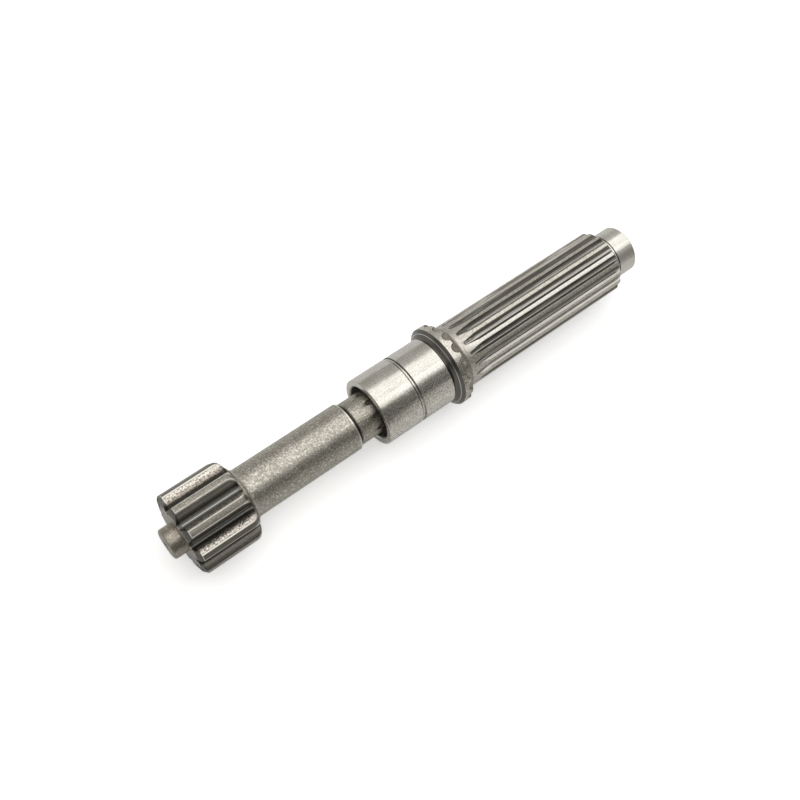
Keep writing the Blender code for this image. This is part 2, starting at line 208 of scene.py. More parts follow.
def draw_through(points):
    """Extrudes the selected point from one point of the outline to the next."""
    for near, far in zip(points, points[1:]):
        bpy.ops.mesh.extrude_region_move(TRANSFORM_OT_translate={"value": far - near})


def close_mesh():
    """Merges doubled points, turns the faces outward and leaves edit mode."""
    bpy.ops.mesh.select_all(action='SELECT')
    bpy.ops.mesh.remove_doubles(threshold=MERGE_DISTANCE)
    bpy.ops.mesh.normals_make_consistent(inside=False)
    bpy.ops.object.mode_set(mode='OBJECT')


def turned_piece(name, profile):
    """A solid turned about the shaft axis from stations and radii that start on the axis."""
    points = [in_frame(station, radius) for station, radius in profile]
    piece = pen_down(name, points[0])
    draw_through(points)
    bpy.ops.mesh.select_all(action='SELECT')
    bpy.ops.mesh.spin(steps=LATHE_STEPS, angle=2 * math.pi, center=in_frame(0, 0),
                      axis=(1, 0, 0))
    close_mesh()
    return piece


def repeat_about_axis(count):
    """Copies all that is drawn so far evenly about the shaft axis."""
    bpy.ops.mesh.select_all(action='SELECT')
    bpy.ops.mesh.spin(steps=count - 1, dupli=True, angle=2 * math.pi * (count - 1) / count,
                      center=in_frame(0, 0), axis=(1, 0, 0))


def swept_cutters(name, outline, turn, count, start, end, hob_radius=None, lift=0.0):
    """Cutters swept along the axis, which may climb out round the hob's own axle."""
    points = [in_frame(start, radius, turn + angle) for radius, angle in outline]
    cutter = pen_down(name, points[0])
    draw_through(points)
    bpy.ops.mesh.select_all(action='SELECT')
    bpy.ops.mesh.edge_face_add()
    bpy.ops.mesh.extrude_region_move(TRANSFORM_OT_translate={"value": (end - start, 0, 0)})
    if hob_radius:
        floor_radius = min(radius for radius, angle in outline)
        axle = in_frame(end, floor_radius + hob_radius, turn)
        climb = math.acos(1 - lift / hob_radius)
        bpy.ops.mesh.spin(steps=RUNOUT_STEPS, angle=climb, center=axle,
                          axis=(0, -math.cos(turn), math.sin(turn)))
    repeat_about_axis(count)
    close_mesh()
    return cutter


def lofted_cutters(name, rings, count):
    """Cutters bridged through the outlines of several stations."""
    cutter = pen_down(name, rings[0][0])
    for number, ring in enumerate(rings):
        if number:
            bpy.ops.mesh.select_all(action='DESELECT')
            bpy.ops.mesh.primitive_plane_add(size=PEN_SIZE, location=ring[0])
            bpy.ops.mesh.merge(type='CENTER')
        draw_through(ring + ring[:1])
    bpy.ops.mesh.select_all(action='SELECT')
    bpy.ops.mesh.remove_doubles(threshold=RING_MERGE_DISTANCE)
    bpy.ops.mesh.bridge_edge_loops()
    bpy.ops.mesh.select_all(action='DESELECT')
    bpy.ops.mesh.select_non_manifold()
    bpy.ops.mesh.edge_face_add()
    repeat_about_axis(count)
    close_mesh()
    return cutter


def select_only(piece):
    bpy.ops.object.select_all(action='DESELECT')
    bpy.context.view_layer.objects.active = piece
    piece.select_set(True)


def cut_away(piece, cutter):
    """Cuts the cutter's shape out of the piece."""
    select_only(piece)
    bpy.ops.object.modifier_add(type='BOOLEAN')
    cut = piece.modifiers[-1]
    cut.operation = 'DIFFERENCE'
    cut.solver = 'EXACT'
    cut.object = cutter
    bpy.ops.object.modifier_apply(modifier=cut.name)
    bpy.data.objects.remove(cutter, do_unlink=True)


def shade_round(piece):
    """Smooth shading, broken where two surfaces meet at an edge."""
    select_only(piece)
    bpy.ops.object.shade_smooth_by_angle(angle=SHARP_ANGLE)


# Tooth forms

def involute(angle):
    return math.tan(angle) - angle


class ToothForm:
    """Angles of one involute tooth, measured at the shaft axis from the tooth's centre."""

    def __init__(self, teeth, module, pressure_angle, profile_shift=0.0):
        pitch_radius = teeth * module / 2
        thickness = module * (math.pi / 2 + 2 * profile_shift * math.tan(pressure_angle))
        self.teeth = teeth
        self.base_radius = pitch_radius * math.cos(pressure_angle)
        self.base_half_angle = thickness / (2 * pitch_radius) + involute(pressure_angle)

    def half_angle(self, radius):
        roll = math.acos(min(1.0, self.base_radius / max(radius, self.base_radius)))
        return self.base_half_angle - involute(roll)

    def space_half_angle(self, radius):
        return math.pi / self.teeth - self.half_angle(radius)


def quarter_turn():
    """Angles of the points of a fillet, over a quarter of a circle."""
    return [math.pi / 2 * step / FILLET_STEPS for step in range(FILLET_STEPS + 1)]


def mirrored(side):
    """A gap's outline from its right side, given from the open top down to the root."""
    return side + [(radius, -angle) for radius, angle in reversed(side)]


def space_between_teeth(form, root_radius, tip_radius, fillet, edge_break):
    """Radii and angles round the gap between two teeth, with the tips' edges broken."""
    foot = root_radius + fillet
    flank_top = tip_radius - edge_break
    outer_radius = tip_radius + CUTTER_MARGIN
    broken_edge = (outer_radius - flank_top) / flank_top
    side = [(outer_radius, form.space_half_angle(flank_top) + broken_edge)]
    for step in range(FLANK_STEPS + 1):
        radius = flank_top + (foot - flank_top) * step / FLANK_STEPS
        side.append((radius, form.space_half_angle(radius)))
    foot_angle = form.space_half_angle(foot)
    for turn in quarter_turn()[1:]:
        radius = foot - fillet * math.sin(turn)
        side.append((radius, foot_angle - fillet / root_radius * (1 - math.cos(turn))))
    ridge = (outer_radius / math.cos(side[0][1]), 0.0)
    return mirrored(side) + [ridge]


def slot_for_tooth(form, inner_radius, outer_radius, clearance):
    """Radii and angles round the slot that takes one tooth with a gap all round."""
    right = []
    for step in range(FLANK_STEPS + 1):
        radius = outer_radius + (inner_radius - outer_radius) * step / FLANK_STEPS
        gap_angle = clearance / (radius * math.cos(COUPLING_PRESSURE_ANGLE))
        right.append((radius, form.half_angle(radius) + gap_angle))
    return mirrored(right) + [(outer_radius, 0.0)]


def full_depth_after(first_touch, depth, hob_radius):
    """Station where a hob that first touches the surface at one station reaches full depth."""
    return first_touch + math.sqrt(2 * hob_radius * depth - depth ** 2)


def collar_dent(full_depth_station, turn):
    """Outlines of the dent that the hob's tips roll into the collar as the hob climbs."""
    top_radius = COLLAR_RADIUS + CUTTER_MARGIN
    pitch_radius = SPLINE_TEETH * SPLINE_MODULE / 2
    widest = math.pi / SPLINE_TEETH * COLLAR_DENT_SHARE_OF_PITCH
    first_angle = math.asin((full_depth_station - SPLINE_START) / SPLINE_HOB_RADIUS)
    lift = COLLAR_RADIUS + DENT_CUTTER_OVERRUN - SPLINE_ROOT_RADIUS
    last_angle = math.acos(1 - lift / SPLINE_HOB_RADIUS)
    rings = []
    for ring in range(DENT_RINGS + 1):
        climb = first_angle + (last_angle - first_angle) * ring / DENT_RINGS
        station = full_depth_station - SPLINE_HOB_RADIUS * math.sin(climb)
        floor = SPLINE_ROOT_RADIUS + SPLINE_HOB_RADIUS * (1 - math.cos(climb))
        side = []
        for step in range(DENT_STEPS + 1):
            travel = math.sqrt(top_radius ** 2 - floor ** 2) * (1 - step / DENT_STEPS)
            radius = math.hypot(floor, travel)
            roll = travel / pitch_radius - math.atan2(travel, floor)
            side.append((radius, min(roll + SPLINE_HOB_TIP_WIDTH / 2 / radius, widest)))
        outline = mirrored(side) + [(top_radius / math.cos(widest), 0.0)]
        rings.append([in_frame(station, radius, turn + angle) for radius, angle in outline])
    return rings


# Turned profiles

def arc(centre, radius, first_angle, last_angle):
    """Points on an arc in the plane of station and radius, angles from the axis direction."""
    points = []
    for step in range(FILLET_STEPS + 1):
        angle = first_angle + (last_angle - first_angle) * step / FILLET_STEPS
        points.append((centre[0] + radius * math.cos(angle),
                       centre[1] + radius * math.sin(angle)))
    return points


def centre_hole(face_station, inward, mouth_radius):
    """Profile of a centre hole, from the end face to its bottom on the axis."""
    drill_radius = mouth_radius / 2
    cone_depth = (mouth_radius - drill_radius) / math.tan(CENTRE_CONE_HALF_ANGLE)
    drill_depth = cone_depth + drill_radius * 2
    return [(face_station, mouth_radius),
            (face_station + inward * cone_depth, drill_radius),
            (face_station + inward * drill_depth, drill_radius),
            (face_station + inward * (drill_depth + drill_radius / 2), 0.0)]


def concave_flank(edge, foot, fillet):
    """Straight flank from a collar's edge down into a fillet that ends at the foot."""
    side = math.copysign(1.0, edge[0] - foot[0])
    centre = (foot[0], foot[1] + fillet)
    across, up = abs(edge[0] - centre[0]), edge[1] - centre[1]
    first_angle = math.acos(fillet / math.hypot(across, up)) - math.atan2(up, across)
    points = [edge]
    for step in range(FILLET_STEPS + 1):
        angle = first_angle + (math.pi / 2 - first_angle) * step / FILLET_STEPS
        points.append((centre[0] + side * fillet * math.cos(angle),
                       centre[1] - fillet * math.sin(angle)))
    return points


def sun_gear_profile():
    """The gear's side, from the bottom of the stub's centre hole to the end of the neck."""
    front, tip, back = GEAR_FRONT_RADIUS, GEAR_TIP_RADIUS, GEAR_BACK_RADIUS
    rounding = [(GEAR_END - GEAR_BACK_CHAMFER * (1 - math.sin(turn)),
                 back + (tip - back) * math.cos(turn)) for turn in quarter_turn()]
    blend = [(STEM_START - HUB_FILLET * math.cos(turn),
              HUB_RADIUS - (HUB_RADIUS - STEM_RADIUS) * math.sin(turn))
             for turn in quarter_turn()]
    groove_radius = NECK_RADIUS - NECK_GROOVE_DEPTH
    groove_end = STEM_END + NECK_GROOVE_WIDTH
    return centre_hole(0.0, 1, STUB_CENTRE_RADIUS)[::-1] + [
        (0.0, STUB_RADIUS - STUB_CHAMFER),
        (STUB_CHAMFER * STUB_ROUNDING_ALONG, STUB_RADIUS - STUB_CHAMFER * STUB_ROUNDING_DOWN),
        (STUB_CHAMFER, STUB_RADIUS),
        (STUB_LENGTH - EDGE_BREAK, STUB_RADIUS),
        (STUB_LENGTH, STUB_RADIUS + EDGE_BREAK),
        (STUB_LENGTH, front - EDGE_BREAK),
        (STUB_LENGTH + EDGE_BREAK, front + EDGE_BREAK),
        (STUB_LENGTH + GEAR_FRONT_CHAMFER / 2, front + (tip - front) * GEAR_FRONT_ROUNDING),
        (GEAR_TIP_START, tip),
    ] + rounding + [
        (GEAR_END, HUB_RADIUS),
    ] + blend + [
        (STEM_END - STEM_CHAMFER, STEM_RADIUS),
        (STEM_END, STEM_RADIUS - STEM_CHAMFER),
        (STEM_END, groove_radius),
        (groove_end, groove_radius),
        (groove_end + NECK_GROOVE_DEPTH, NECK_RADIUS),
        (NECK_END - NECK_CHAMFER, NECK_RADIUS),
        (NECK_END, NECK_RADIUS - NECK_CHAMFER),
        (NECK_END, 0.0),
    ]


def socket_profile():
    """The hollow end, from the drill point on the axis out to the rim."""
    relief_radius = NECK_RADIUS + COUPLING_CLEARANCE + CUTTER_MARGIN
    tooth_tip_radius = COUPLING_ROOT_RADIUS + COUPLING_CLEARANCE
    floor = MOUTH + COUNTERBORE_DEPTH
    relief_start = NECK_END - NECK_CHAMFER
    relief_end = relief_start + RELIEF_BORE_LENGTH
    return [
        (relief_end + DRILL_POINT_LENGTH, 0.0),
        (relief_end, tooth_tip_radius),
        (relief_end, relief_radius),
        (relief_start, relief_radius),
        (relief_start, tooth_tip_radius),
        (floor, tooth_tip_radius),
        (floor, COUNTERBORE_RADIUS),
        (MOUTH + COUNTERBORE_CHAMFER, COUNTERBORE_RADIUS),
        (MOUTH, COUNTERBORE_RADIUS + COUNTERBORE_CHAMFER),
    ]


def motor_shaft_profile():
    """The socket, and then the outside from its rim to the pilot's centre hole."""
    groove_radius = JOURNAL_RADIUS - JOURNAL_GROOVE_DEPTH
    collar_edge = COLLAR_RADIUS - COLLAR_CHAMFER
    undercut_radius = PILOT_RADIUS - PILOT_UNDERCUT_DEPTH
    undercut_start = PILOT_START - PILOT_UNDERCUT_WIDTH
    front_flank = concave_flank((COLLAR_START, collar_edge), (JOURNAL_2_END, groove_radius),
                                COLLAR_FRONT_FILLET)
    back_flank = concave_flank((COLLAR_END, collar_edge), (SPLINE_START, SPLINE_RADIUS),
                               COLLAR_BACK_FILLET)
    rim = arc((MOUTH + JOURNAL_CHAMFER, JOURNAL_RADIUS - JOURNAL_CHAMFER), JOURNAL_CHAMFER,
              math.pi, math.pi / 2)
    return socket_profile() + rim + [
        (JOURNAL_GROOVE_START, JOURNAL_RADIUS),
        (JOURNAL_GROOVE_START + JOURNAL_GROOVE_DEPTH, groove_radius),
        (JOURNAL_2_START - JOURNAL_GROOVE_DEPTH, groove_radius),
        (JOURNAL_2_START, JOURNAL_RADIUS),
        (JOURNAL_2_END - JOURNAL_GROOVE_DEPTH, JOURNAL_RADIUS),
    ] + front_flank[::-1] + [
        (COLLAR_START + COLLAR_CHAMFER, COLLAR_RADIUS),
        (COLLAR_END - COLLAR_CHAMFER, COLLAR_RADIUS),
    ] + back_flank + [
        (SPLINE_END, SPLINE_RADIUS),
        (PILOT_STEP, SPLINE_ROOT_RADIUS - COLLAR_CHAMFER),
        (PILOT_STEP, PILOT_RADIUS),
        (undercut_start, PILOT_RADIUS),
        (undercut_start, undercut_radius),
        (PILOT_START - PILOT_UNDERCUT_DEPTH / 2, undercut_radius),
        (PILOT_START, PILOT_RADIUS),
        (TOTAL_LENGTH - PILOT_CHAMFER, PILOT_RADIUS),
        (TOTAL_LENGTH, PILOT_RADIUS - PILOT_CHAMFER),
    ] + centre_hole(TOTAL_LENGTH, -1, PILOT_CENTRE_RADIUS)


# The two pieces

def make_sun_gear_shaft(coupling):
    """The turned shaft with the gear's gaps and the coupling's gaps cut out of it."""
    shaft = turned_piece("blasted_sun_gear_shaft", sun_gear_profile())

    gear = ToothForm(GEAR_TEETH, GEAR_MODULE, GEAR_PRESSURE_ANGLE, GEAR_PROFILE_SHIFT)
    gap = space_between_teeth(gear, GEAR_ROOT_RADIUS, GEAR_TIP_RADIUS, GEAR_ROOT_FILLET,
                              GEAR_EDGE_BREAK)
    first_gap = GEAR_PHASE + math.pi / GEAR_TEETH
    cut_away(shaft, swept_cutters("gear_gaps", gap, first_gap, GEAR_TEETH,
                                  STUB_LENGTH - CUTTER_MARGIN,
                                  GEAR_END + GEAR_CUTTER_OVERRUN))

    depth = NECK_RADIUS - COUPLING_ROOT_RADIUS
    gap = space_between_teeth(coupling, COUPLING_ROOT_RADIUS, NECK_RADIUS,
                              COUPLING_ROOT_FILLET, COUPLING_EDGE_BREAK)
    full_depth = full_depth_after(STEM_END + COUPLING_PLAIN_LENGTH, depth, COUPLING_HOB_RADIUS)
    first_gap = COUPLING_PHASE + math.pi / COUPLING_TEETH
    cut_away(shaft, swept_cutters("coupling_gaps", gap, first_gap, COUPLING_TEETH,
                                  NECK_END + CUTTER_MARGIN, full_depth,
                                  COUPLING_HOB_RADIUS, depth + CUTTER_MARGIN))
    shade_round(shaft)
    return shaft


def make_motor_shaft(coupling):
    """The turned shaft with its spline hobbed, and slots in its socket for the coupling."""
    shaft = turned_piece("hobbed_motor_shaft", motor_shaft_profile())

    spline = ToothForm(SPLINE_TEETH, SPLINE_MODULE, SPLINE_PRESSURE_ANGLE,
                       SPLINE_PROFILE_SHIFT)
    depth = SPLINE_RADIUS - SPLINE_ROOT_RADIUS
    gap = space_between_teeth(spline, SPLINE_ROOT_RADIUS, SPLINE_RADIUS, SPLINE_ROOT_FILLET,
                              SPLINE_EDGE_BREAK)
    full_depth = full_depth_after(SPLINE_START + SPLINE_PLAIN_LENGTH, depth, SPLINE_HOB_RADIUS)
    first_gap = SPLINE_PHASE + math.pi / SPLINE_TEETH
    cut_away(shaft, swept_cutters("spline_gaps", gap, first_gap, SPLINE_TEETH,
                                  PILOT_START, full_depth,
                                  SPLINE_HOB_RADIUS, depth + CUTTER_MARGIN))
    cut_away(shaft, lofted_cutters("collar_dents", collar_dent(full_depth, first_gap),
                                   SPLINE_TEETH))

    slot = slot_for_tooth(coupling, COUPLING_ROOT_RADIUS, NECK_RADIUS + COUPLING_CLEARANCE,
                          COUPLING_CLEARANCE)
    cut_away(shaft, swept_cutters("coupling_slots", slot, COUPLING_PHASE, COUPLING_TEETH,
                                  MOUTH + COUNTERBORE_DEPTH - CUTTER_MARGIN,
                                  NECK_END - NECK_CHAMFER + RELIEF_BORE_LENGTH / 2))
    shade_round(shaft)
    return shaft


# Node graphs written as expressions

class Signal:
    """One output of a node graph, which expressions treat as a number."""

    def __init__(self, graph, socket):
        self.graph = graph
        self.socket = socket

    def __add__(self, other):
        return self.graph.maths('ADD', self, other)

    def __radd__(self, other):
        return self.graph.maths('ADD', other, self)

    def __sub__(self, other):
        return self.graph.maths('SUBTRACT', self, other)

    def __rsub__(self, other):
        return self.graph.maths('SUBTRACT', other, self)

    def __mul__(self, other):
        return self.graph.maths('MULTIPLY', self, other)

    def __rmul__(self, other):
        return self.graph.maths('MULTIPLY', other, self)

    def __pow__(self, other):
        return self.graph.maths('POWER', self, other)


class Graph:
    """The nodes of a material or of the world."""

    def __init__(self, owner):
        owner.use_nodes = True
        self.tree = owner.node_tree

    def node(self, kind, settings=None, sockets=None, output=0):
        """Adds a node, sets its settings and then its sockets, and gives one output."""
        added = self.tree.nodes.new(kind)
        for name, setting in (settings or {}).items():
            setattr(added, name, setting)
        for slot, value in (sockets or {}).items():
            if isinstance(value, Signal):
                self.tree.links.new(value.socket, added.inputs[slot])
            else:
                added.inputs[slot].default_value = value
        return Signal(self, added.outputs[output])

    def maths(self, operation, *values):
        return self.node('ShaderNodeMath', {'operation': operation}, dict(enumerate(values)))

    def ramp(self, value, low, high, course='SMOOTHSTEP'):
        """Rises from 0 at the low value to 1 at the high value."""
        return self.node('ShaderNodeMapRange', {'interpolation_type': course},
                         {'Value': value, 'From Min': low, 'From Max': high})

    def between(self, value, low, high, blur):
        """1 between two values and 0 outside, with soft ends."""
        return self.ramp(value, low - blur, low + blur) * (1 - self.ramp(value, high - blur,
                                                                         high + blur))

    def mix(self, factor, first, second):
        """Blends two colours."""
        return self.node('ShaderNodeMix', {'data_type': 'RGBA'}, {0: factor, 6: first, 7: second},
                         output=2)

    def noise(self, place, size, detail=2.0, roughness=0.6):
        """Noise from 0 to 1 with features of about the given size in metres."""
        return self.node('ShaderNodeTexNoise', None, {'Vector': place, 'Scale': 1 / size,
                                                      'Detail': detail, 'Roughness': roughness})

    def vector(self, x, y, z):
        return self.node('ShaderNodeCombineXYZ', None, {0: x, 1: y, 2: z})


# Finishes, painted coat by coat: masks are 1 inside their zone and 0 elsewhere

def colour(red, green, blue):
    return (red, green, blue, 1.0)


def grey(level):
    return colour(level, level, level)


GRAIN_SIZE = 0.0008
GRAIN_DETAIL = 3.0
GRAIN_ROUGHNESS = 0.7
GRAIN_RELIEF = 0.00008
FAR_FLANK_SINES = (0.2, 0.5)


class ShaftFinish(Graph):
    """A metal finish that knows where on the shaft each point lies."""

    def __init__(self, name, cloud_size, cloud_levels, dull, pale):
        """Starts with a coat of soft clouds between a dull and a pale shade."""
        material = bpy.data.materials.new(name)
        super().__init__(material)
        self.material = material
        self.place = self.node('ShaderNodeTexCoord', output='Object')
        x, y, z = (self.node('ShaderNodeSeparateXYZ', None, {0: self.place}, output=axis)
                   for axis in 'XYZ')
        up = z - AXIS_HEIGHT
        self.station = x - ORIGIN
        self.radius = (y * y + up * up) ** 0.5
        self.turn = self.maths('ARCTAN2', y, up)
        self.grain = self.noise(self.place, GRAIN_SIZE, GRAIN_DETAIL, GRAIN_ROUGHNESS)
        self.clouds = self.noise(self.place, cloud_size)
        self.tone = self.mix(self.ramp(self.clouds, *cloud_levels), dull, pale)

    def strongest(self, first, *others):
        """The highest of several masks at each point."""
        highest = first
        for mask in others:
            highest = self.maths('MAXIMUM', highest, mask)
        return highest

    def far_side_of_teeth(self, teeth, phase):
        """1 on the flank of each tooth that looks the way in which the turn grows."""
        return self.ramp(self.maths('SINE', (self.turn - phase) * teeth), *FAR_FLANK_SINES)

    def toothward(self, teeth, phase):
        """1 at the middle of each tooth, falling to -1 at the middle of each gap."""
        return self.maths('COSINE', (self.turn - phase) * teeth)

    def middle_of_gaps(self, teeth, phase, half_width, root_radius):
        """1 on a thin line along the middle of the root between every two teeth."""
        edge = math.cos(teeth * half_width / root_radius)
        in_root = 1 - self.ramp(self.radius, root_radius + half_width,
                                root_radius + 2 * half_width)
        return in_root * self.ramp(self.toothward(teeth, phase) * -1.0, 2 * edge - 1, edge)

    def paint(self, shade, mask, strength=1.0):
        """Lays a shade over the coats so far, where the mask says."""
        self.tone = self.mix(mask * strength, self.tone, shade)

    def finish(self, roughness, height):
        """Feeds the shader, with the height giving a bump as deep as the grain's relief."""
        shader = self.tree.nodes['Principled BSDF']
        shader.inputs['Metallic'].default_value = 1.0
        bump = self.node('ShaderNodeBump', None, {'Height': height, 'Distance': GRAIN_RELIEF,
                                                  'Strength': 1.0})
        for slot, value in {'Base Color': self.tone, 'Roughness': roughness,
                            'Normal': bump}.items():
            self.tree.links.new(value.socket, shader.inputs[slot])
        return self.material


# Blasted steel: depths below the gear's outline, turns from the top towards the far side

FRONT_CHAMFER_FIRST_SLOPE = 0.2
FLANK_TOP_DEPTHS = (0.0004, 0.0008)
LAND_EDGE_DEPTHS = (0.0005, 0.0003)
LAND_EDGE_COSINES = (0.84, 0.76)
UPPER_TOOTH_TURNS = (0.45, 0.65)
UPPER_TOOTH_DEPTHS = (0.0045, 0.0034)
ROUGH_FLANK_DEPTHS = (0.0052, 0.0026)
NEAR_SIDE_TURNS = (0.22, -0.82)
BEYOND_TOP_TURNS = (0.80, 0.88)
UNDERSIDE_TURNS = (-1.10, -1.30)
GEAR_ROOT_LOW = 0.0001
GEAR_ROOT_HIGH = 0.0005
GEAR_ROOT_HIGHLIGHT_HALF_WIDTH = 0.00014
FRONT_CHAMFER_SHARES = (0.0, 0.1)
BACK_CHAMFER_SHARES = (0.4, 1.0)
STEM_EDGE_WIDTH = 0.0005

BLASTED_CLOUD_SIZE = 0.006
BLASTED_CLOUD_LEVELS = (0.35, 0.7)
PIT_GRAINS = (0.62, 0.40)
PEAK_GRAINS = (0.58, 0.72)
FLANK_PEAK_GRAINS = (0.40, 0.58)
BLASTED_ROUGHNESS = 0.34
BLASTED_CLOUD_ROUGHNESS = 0.08
SMOOTH_FLANK_POLISH = 0.8

BLASTED_DULL = colour(0.48, 0.46, 0.41)
BLASTED_PALE = colour(0.56, 0.54, 0.49)
BLASTED_PIT = colour(0.28, 0.26, 0.22)
BLASTED_PEAK = colour(0.84, 0.80, 0.73)
LAND_BROWN = colour(0.26, 0.23, 0.19)
STUB_BROWN = colour(0.34, 0.29, 0.24)
NECK_BROWN = colour(0.30, 0.27, 0.22)
SMOOTH_FLANK_SHADE = colour(0.18, 0.18, 0.17)
SHADED_TOOTH_BROWN = colour(0.13, 0.12, 0.105)
ROUGH_FLANK_PEAK = colour(0.88, 0.81, 0.74)
GEAR_ROOT_SHADE = colour(0.12, 0.12, 0.11)
GEAR_ROOT_HIGHLIGHT_GREY = colour(0.60, 0.60, 0.57)
PAINTED_SHADE_BLACK = colour(0.10, 0.095, 0.085)
PAINTED_HIGHLIGHT_BRIGHT = colour(0.90, 0.87, 0.81)
FRONT_FACE_BROWN = colour(0.18, 0.17, 0.15)
HUB_CORNER_BROWN = colour(0.14, 0.125, 0.10)
NECK_GROOVE_SHADE = colour(0.03, 0.027, 0.022)


class SunGearZones:
    """Masks of the sun gear's lands, flanks, roots and chamfers, of teeth given painted shade,
    and of edges given a painted highlight.
    """

    def __init__(self, steel):
        station, turn = steel.station, steel.turn
        self.gear = steel.between(station, STUB_LENGTH + EDGE_BREAK, GEAR_END - EDGE_BREAK,
                                  EDGE_BREAK)
        # How far out each chamfer a point lies, and how much of its drop it has reached
        front = steel.ramp(station, GEAR_TIP_START, STUB_LENGTH, 'LINEAR')
        back = steel.ramp(station, GEAR_END - GEAR_BACK_CHAMFER, GEAR_END, 'LINEAR')
        front_drop = front * (FRONT_CHAMFER_FIRST_SLOPE + front * (1 - FRONT_CHAMFER_FIRST_SLOPE))
        back_drop = 1 - (1 - back * back) ** 0.5
        depth = (GEAR_TIP_RADIUS - front_drop * (GEAR_TIP_RADIUS - GEAR_FRONT_RADIUS)
                 - back_drop * (GEAR_TIP_RADIUS - GEAR_BACK_RADIUS) - steel.radius)

        flank = self.gear * steel.ramp(depth, *FLANK_TOP_DEPTHS)
        self.land = self.gear - flank
        upper_tooth = steel.ramp(turn, *UPPER_TOOTH_TURNS) * steel.ramp(
            depth, *UPPER_TOOTH_DEPTHS)
        far_side = steel.far_side_of_teeth(GEAR_TEETH, GEAR_PHASE)
        # Smooth flanks, also darkened as painted shade; the far side of each tooth and the top
        # tooth are left out
        self.smooth_flank = flank * (1 - far_side) * (1 - upper_tooth)
        # Rough flanks, whose bright grain is kept off the underside so that it stays darker:
        # painted shade
        self.rough_flank = (flank - self.smooth_flank) * steel.ramp(
            depth, *ROUGH_FLANK_DEPTHS) * (1 - steel.ramp(turn, *UNDERSIDE_TURNS))
        # Teeth turned towards the near side and beyond the top, which get painted shade
        self.turned_away = self.gear * steel.strongest(
            steel.ramp(turn, *NEAR_SIDE_TURNS), steel.ramp(turn, *BEYOND_TOP_TURNS))

        self.root = self.gear * (1 - steel.ramp(steel.radius, GEAR_ROOT_RADIUS + GEAR_ROOT_LOW,
                                                GEAR_ROOT_RADIUS + GEAR_ROOT_HIGH))
        self.root_highlight = self.gear * steel.middle_of_gaps(
            GEAR_TEETH, GEAR_PHASE, GEAR_ROOT_HIGHLIGHT_HALF_WIDTH, GEAR_ROOT_RADIUS)

        front_chamfer = steel.ramp(front, *FRONT_CHAMFER_SHARES)
        self.chamfer = self.gear * steel.strongest(front_chamfer,
                                                   steel.ramp(back, *BACK_CHAMFER_SHARES))
        # Land edges and land ends, which get a painted highlight
        land_edge = self.gear * steel.ramp(depth, *LAND_EDGE_DEPTHS) * steel.ramp(
            steel.toothward(GEAR_TEETH, GEAR_PHASE), *LAND_EDGE_COSINES) * (1 - front_chamfer)
        land_end = self.gear * (1 - flank) * steel.between(
            station, GEAR_TIP_START - EDGE_BREAK, GEAR_TIP_START + EDGE_BREAK, EDGE_BREAK / 2)
        self.painted_highlight = steel.strongest(land_edge, land_end)


